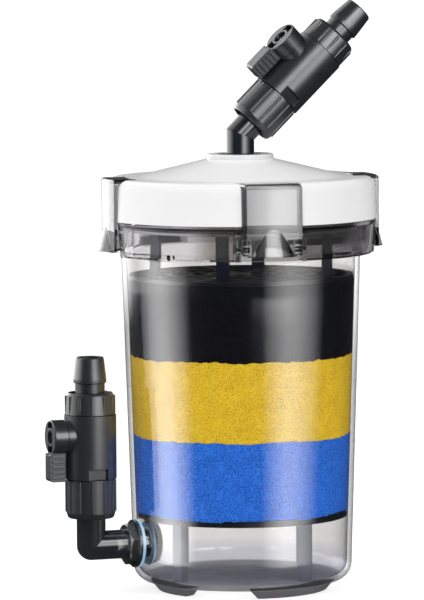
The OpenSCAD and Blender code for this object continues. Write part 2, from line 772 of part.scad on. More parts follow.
// The lever's face has a long recess with a ring in its middle, which holds the screw
module lever() {
    depth = 3;
    slot_half = 2.9;
    rib_out = 0.5;
    edge = 1.6;
    out = face_at + grip_out;
    color(charcoal)
        translate([0, 0, ball_z])
            difference() {
                union() {
                    translate([-lever_in, 0, 0]) rotate([0, -90, 0]) {
                        cylinder(h = face_at - lever_in - 0.4, r = head_r);
                        translate([0, 0, face_at - lever_in - 0.4])
                            cylinder(h = 0.4, r1 = head_r, r2 = head_r - 0.4);
                    }
                    // the grip, rounded at its outer end
                    difference() {
                        union() {
                            translate([-out + edge, -grip_w / 2, -grip_l])
                                cube([grip_d - edge, grip_w, grip_l]);
                            translate([-out, -grip_w / 2, -grip_l + edge])
                                cube([grip_d, grip_w, grip_l - edge]);
                            translate([-out + edge, 0, -grip_l + edge]) rotate([90, 0, 0])
                                cylinder(h = grip_w, r = edge, center = true, $fn = 32);
                        }
                        // room around the head's face
                        translate([-out - 1, 0, 0]) rotate([0, 90, 0])
                            cylinder(h = grip_out + 1, r = head_r + 0.4);
                    }
                    for (i = [0:ridge_n - 1])
                        translate([-out + 0.8, -grip_w / 2 - rib_out, -grip_l + edge + i * ridge_pitch])
                            cube([grip_d - 1.1, grip_w + 2 * rib_out, ridge_pitch * 0.5]);
                }
                difference() {
                    intersection() {
                        translate([-face_at - 1, -slot_half, -head_r])
                            cube([depth + 1, 2 * slot_half, 2 * head_r]);
                        rotate([0, -90, 0]) cylinder(h = face_at + 2, r = head_r - 0.7);
                    }
                    rotate([0, -90, 0]) cylinder(h = face_at, r = slot_half + 1.3);
                }
                translate([-face_at + depth, 0, 0]) rotate([0, -90, 0])
                    cylinder(h = depth + 1, r = slot_half + 0.3);
                translate([-lever_in + 1, 0, 0]) rotate([0, -90, 0]) cylinder(h = 2.5 + fit, r = stem_r + fit);
                rotate([0, -90, 0]) cylinder(h = face_at, r = screw_r + fit);
            }
}

module lever_screw()
    color([0.75, 0.75, 0.76])
        translate([0, 0, ball_z]) rotate([0, -90, 0])
            difference() {
                union() {
                    translate([0, 0, face_at - 3]) cylinder(h = 1.3, r = 2.3);
                    translate([0, 0, 10.5]) cylinder(h = face_at - 3 - 10.5, r = screw_r);
                }
                for (a = [0, 90])
                    rotate([0, 0, a]) translate([-1.5, -0.3, face_at - 2.3]) cube([3, 0.6, 2]);
            }

module nut_ribs(r, z, h)
    for (i = [0:rib_n - 1])
        rotate([0, 0, (i + 0.5) * 360 / rib_n])
            translate([r, 0, z]) cylinder(h = h, r = rib_r, $fn = 16);

module union_nut()
    color(charcoal)
        difference() {
            union() {
                rotate_extrude()
                    polygon([[0, -union_gap], [union_r, -union_gap], [union_r, -union_l + 2.4],
                             [union_r - 0.6, -union_l + 0.5], [union_r - 1.1, -union_l], [0, -union_l]]);
                nut_ribs(union_r - 0.05, -union_l + 2.8, union_l - 2.8 - union_gap - 0.5);
            }
            translate([0, 0, -union_l - 1]) cylinder(h = union_l + 2, r = leg_r + 0.35);
            translate([0, 0, union_lip_z]) cylinder(h = union_l, r = neck_r + run_gap);
            translate([0, 0, -union_l - 1]) cylinder(h = union_recess + 1, r = union_r - 1.9);
        }

module hose_nut() {
    z0 = valve_l + union_gap;
    color(charcoal)
        difference() {
            union() {
                rotate_extrude()
                    polygon([[0, z0], [hose_nut_r + 0.6, z0], [hose_nut_r, hose_nut_top - 1],
                             [hose_nut_r - 0.8, hose_nut_top], [0, hose_nut_top]]);
                nut_ribs(hose_nut_r + 0.1, z0 + 0.5, hose_nut_l - 1.9);
            }
            translate([0, 0, z0 - 1]) cylinder(h = hose_nut_l + 1 - hose_lip_t, r = neck_r + run_gap);
            translate([0, 0, z0 - 1]) cylinder(h = hose_nut_l + 2, r = hose_clear);
        }
}

// The end of an elbow that goes up into a valve, down to its bend at z = -down
module spigot_leg(down, r)
    difference() {
        union() {
            translate([0, 0, -down]) cylinder(h = down + spigot_top_z, r = r);
            translate([0, 0, union_lip_z + fit]) cylinder(h = spigot_flange_t, r = neck_r - 0.8);
            translate([0, 0, union_lip_z + 1]) cylinder(h = spigot_top_z - union_lip_z - 1, r = spigot_r);
        }
        ring(socket_r - oring_d, neck_r, spigot_oring_z - oring_d / 2 - fit, oring_d + 2 * fit);
    }

spigot_oring_z = -5.6;

module spigot_oring()
    color([0.1, 0.1, 0.1])
        oring(socket_r - oring_d / 2, oring_d, spigot_oring_z);

// ---- Where the two valves sit ----

in_z = in_rise + union_l;
out_z = out_rise + union_l;
bend_z = boss_top_z + bend_up;

module at_inlet() translate([-valve_at, 0, port_z + in_z]) children();

module at_outlet()
    translate([0, 0, bend_z]) rotate([0, 0, outlet_turn]) rotate([0, lean, 0])
        translate([0, 0, out_z]) rotate([0, 0, valve_roll]) children();

// ---- Inlet ----

module inlet_elbow() {
    end_at = inner_nut_at - inner_nut_t - 0.6;
    color(charcoal)
        difference() {
            union() {
                at_inlet() spigot_leg(in_z, leg_r);
                translate([-valve_at, 0, port_z]) sphere(r = leg_r);
                translate([-valve_at, 0, port_z]) rotate([0, 90, 0]) cylinder(h = valve_at - end_at, r = leg_r);
            }
            translate([-valve_at, 0, port_z]) {
                cylinder(h = in_z + 1, r = bore_r);
                sphere(r = bore_r);
                rotate([0, 90, 0]) cylinder(h = valve_at, r = bore_r);
            }
        }
}

module hex_nut(at, t)
    translate([-at, 0, port_z]) rotate([0, -90, 0])
        difference() {
            intersection() {
                rotate([0, 0, 47]) cylinder(h = t, r = hex_r, $fn = 6);
                rotate_extrude()
                    polygon([[0, 0], [hex_r, 0], [hex_r, t - 1], [hex_r - 1.4, t], [0, t]]);
            }
            translate([0, 0, -1]) cylinder(h = t + 2, r = leg_r + fit);
        }

module inlet_outer_nut()
    color([0.12, 0.13, 0.13]) {
        hex_nut(outer_nut_at + nut_flange_t - 0.5, outer_nut_t - nut_flange_t + 0.5);
        translate([-outer_nut_at, 0, port_z]) rotate([0, -90, 0])
            ring(leg_r + fit, nut_flange_r, 0, nut_flange_t);
    }

module inlet_inner_nut()
    color([0.12, 0.13, 0.13])
        translate([-2 * inner_nut_at, 0, 0]) mirror([1, 0, 0]) hex_nut(inner_nut_at, inner_nut_t);

module washer(at, r, t)
    color([0.62, 0.76, 0.88])
        translate([-at, 0, port_z]) rotate([0, -90, 0]) ring(leg_r + fit, r, 0, t);

module inlet_outer_washer() washer(pad_face, washer_r, washer_t);
module inlet_inner_washer() washer(inner_nut_at, inner_washer_r, inner_washer_t);

// ---- Outlet ----

// Half of space on the far side of the plane that halves the outlet's bend
module beyond_mitre() {
    reach = out_z + bend_up;
    translate([0, 0, bend_z]) rotate([0, 0, outlet_turn]) rotate([0, lean / 2, 0])
        translate([-reach, -reach, 0]) cube(2 * reach);
}

// The leg or bore below the bend is a hair wider than the one above it
mitre_step = 0.04;

// A bore that runs up to the bend from z and on to the valve, mitred at the bend
module bent_bore(z, r) {
    past = 5;
    intersection() {
        at_outlet() translate([0, 0, -out_z - past]) cylinder(h = out_z + past + 1, r = r);
        beyond_mitre();
    }
    difference() {
        translate([0, 0, z]) cylinder(h = bend_z + past - z, r = r + mitre_step);
        beyond_mitre();
    }
}

module outlet_elbow()
    color(charcoal)
        difference() {
            union() {
                intersection() {
                    at_outlet() spigot_leg(out_z + 5, out_leg_r);
                    beyond_mitre();
                }
                difference() {
                    translate([0, 0, swivel_seat_z])
                        cylinder(h = bend_z + 5 - swivel_seat_z, r = out_leg_r + mitre_step);
                    beyond_mitre();
                }
                translate([0, 0, swivel_seat_z + run_gap]) cylinder(h = swivel_flange_t, r = swivel_flange_r);
                translate([0, 0, swivel_seat_z - swivel_stem_l])
                    cylinder(h = swivel_stem_l + 1, r = swivel_stem_r);
            }
            bent_bore(swivel_seat_z - swivel_stem_l - 1, bore_r);
            ring(swivel_stem_r + run_gap - oring_d, swivel_stem_r + 1,
                 swivel_oring_z - oring_d / 2 - fit, oring_d + 2 * fit);
        }

swivel_oring_z = swivel_seat_z - 4;

module outlet_swivel_oring()
    color([0.1, 0.1, 0.1])
        oring(swivel_stem_r + run_gap - oring_d / 2 - 0.02, oring_d - 0.02, swivel_oring_z);

module outlet_ring_nut()
    color(charcoal)
        ring(swivel_stem_r + fit, swivel_tube_r, swivel_seat_z - swivel_tube_l - 0.2 - ring_nut_t, ring_nut_t);

// ---- Every node ----

barrel();
feet();
lid();
lid_seal();
latch_front();
latch_right();
latch_rear();
latch_left();
sponge_blue();
sponge_yellow();
sponge_black();
media_support();
media_press();
inlet_elbow();
inlet_outer_nut();
inlet_outer_washer();
inlet_inner_washer();
inlet_inner_nut();
at_inlet() spigot_oring();  // inlet_spigot_oring
at_inlet() union_nut();  // inlet_union_nut
at_inlet() valve_body();  // inlet_valve_body
at_inlet() hose_tail();  // inlet_hose_tail
at_inlet() hose_nut();  // inlet_hose_nut
at_inlet() valve_ball();  // inlet_ball
at_inlet() ball_seats();  // inlet_ball_seats
at_inlet() stem();  // inlet_stem
at_inlet() stem_oring();  // inlet_stem_oring
at_inlet() lever();  // inlet_lever
at_inlet() lever_screw();  // inlet_lever_screw
outlet_elbow();
outlet_swivel_oring();
outlet_ring_nut();
at_outlet() spigot_oring();  // outlet_spigot_oring
at_outlet() union_nut();  // outlet_union_nut
at_outlet() valve_body();  // outlet_valve_body
at_outlet() hose_tail();  // outlet_hose_tail
at_outlet() hose_nut();  // outlet_hose_nut
at_outlet() valve_ball();  // outlet_ball
at_outlet() ball_seats();  // outlet_ball_seats
at_outlet() stem();  // outlet_stem
at_outlet() stem_oring();  // outlet_stem_oring
at_outlet() lever();  // outlet_lever
at_outlet() lever_screw();  // outlet_lever_screw
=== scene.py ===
import json
import math

import bpy
from mathutils import Matrix, Vector, noise


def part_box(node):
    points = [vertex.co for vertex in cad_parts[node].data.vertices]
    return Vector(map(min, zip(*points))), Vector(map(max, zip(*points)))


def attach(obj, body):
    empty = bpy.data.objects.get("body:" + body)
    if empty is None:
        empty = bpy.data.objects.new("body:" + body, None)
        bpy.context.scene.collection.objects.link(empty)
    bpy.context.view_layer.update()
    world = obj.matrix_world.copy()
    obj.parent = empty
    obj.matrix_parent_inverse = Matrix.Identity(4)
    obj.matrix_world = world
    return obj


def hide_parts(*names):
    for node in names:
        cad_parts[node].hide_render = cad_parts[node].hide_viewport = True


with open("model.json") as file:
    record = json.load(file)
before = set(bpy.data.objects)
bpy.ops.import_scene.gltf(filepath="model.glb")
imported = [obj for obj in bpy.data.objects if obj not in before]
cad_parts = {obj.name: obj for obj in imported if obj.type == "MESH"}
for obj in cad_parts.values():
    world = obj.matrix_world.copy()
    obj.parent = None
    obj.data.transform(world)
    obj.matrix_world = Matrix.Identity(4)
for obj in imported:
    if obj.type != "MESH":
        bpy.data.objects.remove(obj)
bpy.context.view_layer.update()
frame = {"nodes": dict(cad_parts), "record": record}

MM = 0.001


# ---- Camera: low in front of the barrel, with the inlet valve on the left ----

IMAGE_HEIGHT_PX = 600
FOCAL_PX = 5055
SENSOR_MM = 24
CLIP_NEAR, CLIP_FAR = 0.05, 50
CAMERA_BEARING = math.radians(-111)
CAMERA_DISTANCE = 2300 * MM
CAMERA_HEIGHT = 328.6 * MM
CAMERA_ROLL = 0.0066
AIM_LEFT = 13.23 * MM
AIM_HEIGHT = 132.3 * MM


def bearing(degrees, distance, z):
    """The place at degrees right of the camera, seen from the barrel's axis"""
    a = CAMERA_BEARING + math.radians(degrees)
    return Vector((math.cos(a) * distance, math.sin(a) * distance, z))


def add_camera():
    place = bearing(0, CAMERA_DISTANCE, CAMERA_HEIGHT)
    right = (-bearing(0, 1, 0)).cross(Vector((0, 0, 1)))
    aim = -AIM_LEFT * right + Vector((0, 0, AIM_HEIGHT))
    look = (aim - place).normalized()
    right = look.cross(Vector((0, 0, 1))).normalized()
    up = right.cross(look)
    c, s = math.cos(CAMERA_ROLL), math.sin(CAMERA_ROLL)
    right, up = c * right - s * up, c * up + s * right
    data = bpy.data.cameras.new("camera")
    data.sensor_width = SENSOR_MM
    data.lens = FOCAL_PX * SENSOR_MM / IMAGE_HEIGHT_PX
    data.clip_start, data.clip_end = CLIP_NEAR, CLIP_FAR
    camera = bpy.data.objects.new("camera", data)
    camera.matrix_world = Matrix((
        (right.x, up.x, -look.x, place.x),
        (right.y, up.y, -look.y, place.y),
        (right.z, up.z, -look.z, place.z),
        (0, 0, 0, 1),
    ))
    bpy.context.scene.collection.objects.link(camera)
    bpy.context.scene.camera = camera


# ---- Shader helpers ----

# Noise mostly stays between these
NOISE_LOW, NOISE_HIGH = 0.3, 0.7
WHITE = (1, 1, 1)
BLACK = (0, 0, 0)
FLAT = (1, 1, 0)
LAYER_BLEND = 0.5
BEVEL_SAMPLES = 4
PLASTIC_IOR = 1.49


def shade(colour, factor):
    return tuple(min(1.0, c * factor) for c in colour)


class Shader:
    """A material's node tree, with short calls to add nodes and join them. A colour or a number can be a
    constant or the output of a node."""

    def __init__(self, name):
        self.material = bpy.data.materials.new(name)
        self.material.use_nodes = True
        self.tree = self.material.node_tree
        self.tree.nodes.clear()
        self.out = self.add("ShaderNodeOutputMaterial")

    def add(self, kind, settings=None, **inputs):
        node = self.tree.nodes.new(kind)
        for key, value in (settings or {}).items():
            setattr(node, key, value)
        for key, value in inputs.items():
            self.put(node, key.replace("_", " "), value)
        return node

    def put(self, node, key, value):
        socket = node.inputs[key]
        if hasattr(value, "is_output"):
            self.tree.links.new(value, socket)
        else:
            socket.default_value = value

    def add_in_order(self, kind, settings, *values):
        """A node whose first inputs, which share one name, get the values in turn"""
        node = self.add(kind, settings)
        for index, value in enumerate(values):
            self.put(node, index, value)
        return node

    def surface(self, socket):
        self.tree.links.new(socket, self.out.inputs["Surface"])
        return self.material

    def place(self):
        return self.add("ShaderNodeTexCoord").outputs["Object"]

    def maths(self, operation, *values):
        return self.add_in_order("ShaderNodeMath", {"operation": operation}, *values).outputs["Value"]

    def vectors(self, operation, *values):
        node = self.add_in_order("ShaderNodeVectorMath", {"operation": operation}, *values)
        return node.outputs["Vector"]

    def from_axis(self, vector):
        """How far a vector reaches sideways"""
        flat = self.vectors("MULTIPLY", vector, FLAT)
        return self.add_in_order("ShaderNodeVectorMath", {"operation": "LENGTH"}, flat).outputs["Value"]

    def split(self, vector):
        outputs = self.add("ShaderNodeSeparateXYZ", Vector=vector).outputs
        return outputs["X"], outputs["Y"], outputs["Z"]

    def warped_place(self, size, push):
        """The place, moved by up to about push metres in swirls about size metres across"""
        swirl = self.add("ShaderNodeTexNoise", Vector=self.place(), Scale=1 / size, Detail=2.0)
        move = self.add("ShaderNodeVectorMath", {"operation": "SCALE"}, Scale=push)
        self.put(move, 0, swirl.outputs["Color"])
        return self.vectors("ADD", self.place(), move.outputs["Vector"])

    def noise(self, size, detail=2.0):
        """Noise whose features are about size metres across"""
        node = self.add("ShaderNodeTexNoise", Vector=self.place(), Scale=1 / size, Detail=detail)
        return node.outputs["Fac"]

    def between(self, fac, low, high, start=0.0, end=1.0):
        """A number from low to high as fac goes from start to end"""
        limits = {"From_Min": start, "From_Max": end, "To_Min": low, "To_Max": high}
        return self.add("ShaderNodeMapRange", Value=fac, **limits).outputs["Result"]

    def drift(self, size, low, high, detail=2.0):
        """A number that wanders from low to high"""
        return self.between(self.noise(size, detail), low, high, NOISE_LOW, NOISE_HIGH)

    def ramp(self, fac, *stops):
        node = self.add("ShaderNodeValToRGB", Fac=fac)
        set_stops(node.color_ramp, stops)
        return node.outputs["Color"]

    def clouds(self, size, first, second, detail=3.0):
        """A colour that wanders from the first to the second"""
        return self.ramp(self.noise(size, detail), (NOISE_LOW, first), (NOISE_HIGH, second))

    def blend(self, fac, first, second, mode="MIX"):
        """Two colours, mixed"""
        node = self.add("ShaderNodeMix", {"data_type": "RGBA", "blend_type": mode})
        for index, value in ((0, fac), (6, first), (7, second)):
            self.put(node, index, value)
        return node.outputs[2]

    def bump(self, height, distance, strength, normal=None):
        node = self.add("ShaderNodeBump", Height=height, Distance=distance, Strength=strength)
        if normal is not None:
            self.put(node, "Normal", normal)
        return node.outputs["Normal"]

    def mix(self, fac, first, second):
        """Two shaders, mixed"""
        return self.add_in_order("ShaderNodeMixShader", None, fac, first, second).outputs["Shader"]

    def soft_edges(self, radius):
        return self.add("ShaderNodeBevel", {"samples": BEVEL_SAMPLES}, Radius=radius).outputs["Normal"]

    def turned_away(self, normal):
        """0 where a face looks at the viewer, 1 where it is seen edge on"""
        return self.add("ShaderNodeLayerWeight", Blend=LAYER_BLEND, Normal=normal).outputs["Facing"]

    def plastic(self, **inputs):
        return self.add("ShaderNodeBsdfPrincipled", **inputs).outputs["BSDF"]

    def clear_plastic(self, **inputs):
        """Plastic that bends the light that passes it"""
        return self.plastic(IOR=PLASTIC_IOR, Transmission_Weight=1.0, **inputs)


def set_stops(ramp, stops):
    """Give a colour ramp its stops, each a place and a colour"""
    while len(ramp.elements) < len(stops):
        ramp.elements.new(0.5)
    for element, (at, colour) in zip(ramp.elements, stops):
        element.position = at
        element.color = (*colour, 1)


# ---- Opaque plastics ----

DRIFT_SIZE = 14 * MM
GLOSS_SIZE = 5 * MM
GLOSS_VARY = 0.05
GRAIN = 0.35 * MM
GRAIN_DEPTH = 0.006 * MM
GRAIN_STRENGTH = 0.6
GAP_SHADE_GREY = (0.1, 0.1, 0.1)
GAP_SAMPLES = 6
# How open a place is where the painted gap shade is darkest and where it ends, for its colour and for its
# shine
GAP_SHADE_FROM, GAP_SHADE_TO = 0.35, 0.85
GAP_SHINE_FROM, GAP_SHINE_TO = 0.3, 0.8


def moulded_plastic(name, colour, rough, edge=0.0, vary=0.12, level=0.5, painted_shade_reach=0.0, **more):
    """Opaque moulded plastic: a faint grain, cloudy gloss, slight colour drift and, if painted_shade_reach
    isn't 0, a painted shade, a darker colour and less shine, where other faces are nearer than
    painted_shade_reach metres"""
    s = Shader(name)
    base = s.clouds(DRIFT_SIZE, shade(colour, 1 - vary), shade(colour, 1 + vary))
    shine = level
    if painted_shade_reach:
        # Painted shade: the colour and the shine darken in gaps, where other faces are near
        occlusion = s.add("ShaderNodeAmbientOcclusion", {"samples": GAP_SAMPLES}, Distance=painted_shade_reach)
        open_air = occlusion.outputs["AO"]
        painted_gap_shade = s.ramp(open_air, (GAP_SHADE_FROM, GAP_SHADE_GREY), (GAP_SHADE_TO, WHITE))
        base = s.blend(1.0, base, painted_gap_shade, "MULTIPLY")
        shine = s.between(open_air, 0.0, level, GAP_SHINE_FROM, GAP_SHINE_TO)
    gloss = s.drift(GLOSS_SIZE, rough * (1 - GLOSS_VARY), rough * (1 + GLOSS_VARY), 4)
    normal = s.bump(s.noise(GRAIN), GRAIN_DEPTH, GRAIN_STRENGTH, s.soft_edges(edge) if edge else None)
    look = {"Base_Color": base, "Roughness": gloss, "Normal": normal, "Specular_IOR_Level": shine}
    return s.surface(s.plastic(**look, **more))


# ---- Foam, and the media frame ----

FOAM_CELL = 1.05 * MM
PORE_DEPTH = 0.25 * MM
PORE_BUMP = 0.6
FOAM_DULL = 0.7
FOAM_SHINE = 0.08
DUST_SIZE = 7 * MM
DUST_SHARE = 0.35
DUST_GREY = (0.6, 0.6, 0.6)

# The rings on the top of the upper sponge and on the upper grate, with pale lines on them that are painted
# highlights
RING_CENTRES = ((-9.3 * MM, 3.6 * MM), (24.3 * MM, -9.3 * MM))
RING_PITCH = 3.4 * MM
RING_REACH = 34 * MM
RING_GLINT_GREY = (0.22, 0.23, 0.25)
RING_SWIRL = 11 * MM
# A line fades in while the wave, or the upward part of a face's normal, goes from the first to the second
RING_CREST = (0.62, 0.97)
RING_FACING = (0.6, 0.9)
RING_BUMP = 0.8
SPONGE_RING_DEPTH = 0.5 * MM
GRATE_RING_DEPTH = 0.3 * MM

# The media frame: navy posts over the upper grate, and legs below LEG_TOP painted a lighter grey: the frame's
# dark plastic with a painted reflection of the lamps' bright bands
GRATE_TOP = 144.4 * MM
LEG_TOP = 33.4 * MM
FADE = 0.3 * MM
NAVY = (0.006, 0.009, 0.035)
GRATE_BLACK = (0.004, 0.005, 0.01)
LEG_GREY_AND_REFLECTION = (0.25, 0.26, 0.3)
LEG_CLOUD = 9 * MM
FRAME_ROUGH = 0.35
FRAME_GLOSS_SIZE = 4 * MM


def ring_glint_lines(s):
    """Thin lines in rings round RING_CENTRES, which carry the ring bumps and pale painted highlights: 1 on a
    line and 0 off it, and only on faces that look up
    """
    swirled = s.warped_place(RING_SWIRL, RING_PITCH * 1.2)
    settings = {"wave_type": "RINGS", "rings_direction": "Z", "wave_profile": "SIN"}
    lines = None
    for x, y in RING_CENTRES:
        from_centre = s.vectors("SUBTRACT", swirled, (x, y, 0))
        wave = s.add("ShaderNodeTexWave", settings, Vector=from_centre, Scale=math.pi / (10 * RING_PITCH))
        crest = s.between(wave.outputs["Fac"], 0.0, 1.0, *RING_CREST)
        near = s.between(s.from_axis(from_centre), 1.0, 0.0, RING_REACH * 0.7, RING_REACH)
        ring = s.maths("MULTIPLY", crest, near)
        lines = ring if lines is None else s.maths("MAXIMUM", lines, ring)
    looks_up = s.split(s.add("ShaderNodeTexCoord").outputs["Normal"])[2]
    return s.maths("MULTIPLY", lines, s.between(looks_up, 0.0, 1.0, *RING_FACING))


def foam(name, dark, middle, light, glow, rings=None):
    """Open-cell foam: bright struts round pores painted darker, a painted shade in the hollows. glow is a
    painted light: the foam gives off its own colour, though it is no lamp.
    """
    s = Shader(name)
    place = s.warped_place(FOAM_CELL * 2, FOAM_CELL * 0.7)
    settings = {"feature": "DISTANCE_TO_EDGE"}
    pore = s.add("ShaderNodeTexVoronoi", settings, Vector=place, Scale=1 / FOAM_CELL).outputs["Distance"]
    # Painted shade: the colour darkens from the struts into the pores
    colour = s.ramp(s.between(pore, 0.0, 1.0, 0.02, 0.4), (0.0, light), (0.4, middle), (1.0, dark))
    colour = s.blend(DUST_SHARE, colour, s.clouds(DUST_SIZE, DUST_GREY, WHITE), "MULTIPLY")
    normal = s.bump(s.between(pore, 1.0, 0.0, 0.0, 0.3), PORE_DEPTH, PORE_BUMP)
    # rings is the grey of painted highlights: pale lines on the ring crests of faces that look up
    if rings:
        lines = ring_glint_lines(s)
        colour = s.blend(lines, colour, (*rings, 1))
        normal = s.bump(lines, SPONGE_RING_DEPTH, RING_BUMP, normal)
    # Painted light: the foam glows with its own colour
    painted_glow = {"Emission_Color": colour, "Emission_Strength": glow}
    gloss = {"Roughness": FOAM_DULL, "Specular_IOR_Level": FOAM_SHINE}
    return s.surface(s.plastic(Base_Color=colour, Normal=normal, **gloss, **painted_glow))


def frame_plastic(name):
    """Navy posts, black grates, the upper with pale ring lines painted on it as painted highlights, and legs
    painted a
    lighter grey: the frame's dark plastic with a painted reflection of the lamps' bright bands
    """
    s = Shader(name)
    up = s.split(s.place())[2]
    lines = ring_glint_lines(s)
    # Painted highlights: pale lines on the grate's rings
    grate = s.ramp(lines, (0.0, GRATE_BLACK), (0.4, shade(GRATE_BLACK, 2)), (1.0, RING_GLINT_GREY))
    posts = s.clouds(DRIFT_SIZE, shade(NAVY, 0.85), shade(NAVY, 1.15))
    legs_and_reflection = s.clouds(LEG_CLOUD, shade(LEG_GREY_AND_REFLECTION, 0.9), shade(LEG_GREY_AND_REFLECTION, 1.1))
    base = s.blend(s.between(up, 0.0, 1.0, GRATE_TOP, GRATE_TOP + FADE), grate, posts)
    # Painted reflection: the legs are lighter than the posts, which are the same plastic
    base = s.blend(s.between(up, 1.0, 0.0, LEG_TOP - FADE, LEG_TOP), base, legs_and_reflection)
    gloss = s.drift(FRAME_GLOSS_SIZE, FRAME_ROUGH * 0.8, FRAME_ROUGH * 1.2, 3)
    normal = s.bump(lines, GRATE_RING_DEPTH, RING_BUMP)
    return s.surface(s.plastic(Base_Color=base, Roughness=gloss, Normal=normal))


# ---- Clear plastics ----

# How much light one face of the barrel's wall lets through
WALL_TINT = (0.895, 0.89, 0.888)
BASE_TINT = (0.8, 0.8, 0.83)
BASE_TOP = 20 * MM
BASE_WAVE, BASE_WANDER = 30 * MM, 0.6 * MM
# Low waves in the wall, and how much of the lamps' own light it lets through
WALL_WAVE, WALL_WAVE_DEPTH, WALL_WAVE_BUMP = 11 * MM, 0.04 * MM, 0.4
WALL_SHADOW = (0.97, 0.97, 0.97)
# The same for the collar, whose smoked tint is painted darker from left to right: painted shade
COLLAR_LIT_TINT = (0.97, 0.96, 0.97)
COLLAR_TINT = (0.54, 0.53, 0.52)
COLLAR_SHADED_TINT = (0.36, 0.35, 0.36)
COLLAR_Z = 153.9 * MM
COLLAR_FADE = 0.1 * MM
COLLAR_REACH = 62 * MM
COLLAR_ROUGH = 0.03
# The inner floor, which hides the feet behind a milky grey that glows a little, a painted light
FLOOR_Z = 6.6 * MM
MILK_FROM, MILK_TO = FLOOR_Z + 0.1 * MM, FLOOR_Z + 0.6 * MM
MILK_R, MILK_END = 42 * MM, 45 * MM
MILK_CLOUD = 9 * MM
MILK_DARK = (0.43, 0.42, 0.42)
MILK_PALE = (0.54, 0.53, 0.53)
MILK_ROUGH = 0.7
MILK_PAINTED_LIGHT = 0.1
MILK_HIDES = 0.85
# What one face of the wall mirrors, face on and edge on, and how cloudy that mirror is
MIRROR_LOW, MIRROR_HIGH, MIRROR_POWER = 0.042, 0.8, 4.5
MIRROR_CLOUD = 8 * MM
MIRROR_ROUGH = (0.07, 0.11)

# The latch's border, painted dark: painted shade in place of the dark lines that bent light draws along its
# edges
LATCH_TURN = math.radians(-7.5)
LATCH_HALF = 13.5 * MM
LATCH_LINE = 1.5 * MM
LATCH_BORDER_SHADE = (0.15, 0.15, 0.155)
LATCH_CLEAR = (0.99, 0.99, 0.99)
LATCH_EDGE_SHADE = (0.1, 0.1, 0.105)
LATCH_EDGE = 1.3 * MM
LATCH_SOFT = 0.3 * MM
LATCH_RIPPLE, LATCH_RIPPLE_DEPTH, LATCH_RIPPLE_BUMP = 4 * MM, 0.015 * MM, 0.5
LATCH_ROUGH = 0.02
LATCH_GLOSS_SIZE = 3 * MM


def lets_lamps_through(s, shader, tint):
    """Rays from lamps pass the clear plastic as if it were only tinted"""
    shadow = s.add("ShaderNodeLightPath").outputs["Is Shadow Ray"]
    return s.mix(shadow, shader, s.add("ShaderNodeBsdfTransparent", Color=(*tint, 1)).outputs["BSDF"])


def milky_floor(s, place, up):
    """The shader of the barrel's inner floor, which glows a little as painted light, and how much of it there
    is
    """
    cloud = s.clouds(MILK_CLOUD, MILK_DARK, MILK_PALE, 4)
    # Painted light: the floor gives off its own grey
    glow = {"Emission_Color": cloud, "Emission_Strength": MILK_PAINTED_LIGHT}
    low = s.between(up, MILK_HIDES, 0.0, MILK_FROM, MILK_TO)
    inside = s.between(s.from_axis(place), 1.0, 0.0, MILK_R, MILK_END)
    return s.plastic(Base_Color=cloud, Roughness=MILK_ROUGH, **glow), s.maths("MULTIPLY", low, inside)


def smoked_wall(name):
    """The barrel: a thin smoked wall that mirrors the lamps, with a collar thick enough to bend the light.
    The collar's tint is painted darker from left to right, a painted shade.
    """
    s = Shader(name)
    soft = s.bump(s.noise(WALL_WAVE), WALL_WAVE_DEPTH, WALL_WAVE_BUMP)
    place = s.place()
    across, _, up = s.split(place)
    height = s.maths("ADD", up, s.drift(BASE_WAVE, -BASE_WANDER, BASE_WANDER))
    from_floor = s.between(height, 0.0, 1.0, FLOOR_Z, BASE_TOP)
    tint = s.ramp(from_floor, (0.0, BASE_TINT), (0.35, BASE_TINT), (0.8, WALL_TINT))
    thin = s.add("ShaderNodeBsdfTransparent", Color=tint)
    mirror = s.add("ShaderNodeBsdfGlossy", Roughness=s.drift(MIRROR_CLOUD, *MIRROR_ROUGH, 3), Normal=soft)
    grazing = s.maths("POWER", s.turned_away(soft), MIRROR_POWER)
    mirrored = s.between(grazing, MIRROR_LOW, MIRROR_HIGH)
    wall = s.mix(mirrored, thin.outputs["BSDF"], mirror.outputs["BSDF"])
    milk, milky = milky_floor(s, place, up)
    wall = s.mix(milky, wall, milk)
    # Painted shade: the collar's tint darkens from its left to its right
    along = s.between(across, 0.0, 1.0, -COLLAR_REACH, COLLAR_REACH)
    shaded_tint = s.ramp(along, (0.18, COLLAR_LIT_TINT), (0.24, COLLAR_TINT), (0.8, COLLAR_SHADED_TINT))
    thick = s.clear_plastic(Base_Color=shaded_tint, Roughness=COLLAR_ROUGH, Normal=soft)
    at_collar = s.between(up, 0.0, 1.0, COLLAR_Z - COLLAR_FADE, COLLAR_Z)
    return s.surface(lets_lamps_through(s, s.mix(at_collar, wall, thick), WALL_SHADOW))


def latch_shade_border(s):
    """1 along the sides and the upper edge of a latch, where its painted dark border goes, and 0 inside them
    """
    turn = s.add("ShaderNodeVectorRotate", {"rotation_type": "Z_AXIS"}, Vector=s.place(), Angle=-LATCH_TURN)
    x, y, up = s.split(turn.outputs["Vector"])
    across = s.maths("MINIMUM", s.maths("ABSOLUTE", x), s.maths("ABSOLUTE", y))
    at_side = s.between(across, 0.0, 1.0, LATCH_HALF - LATCH_LINE, LATCH_HALF - LATCH_LINE * 0.8)
    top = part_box("latch_front")[1][2]
    near_top = s.between(up, 0.0, 1.0, top - LATCH_LINE * 1.2, top - LATCH_LINE)
    under_top = s.between(up, 1.0, 0.0, top - 0.3 * MM, top - 0.1 * MM)
    return s.maths("MAXIMUM", at_side, s.maths("MULTIPLY", near_top, under_top))


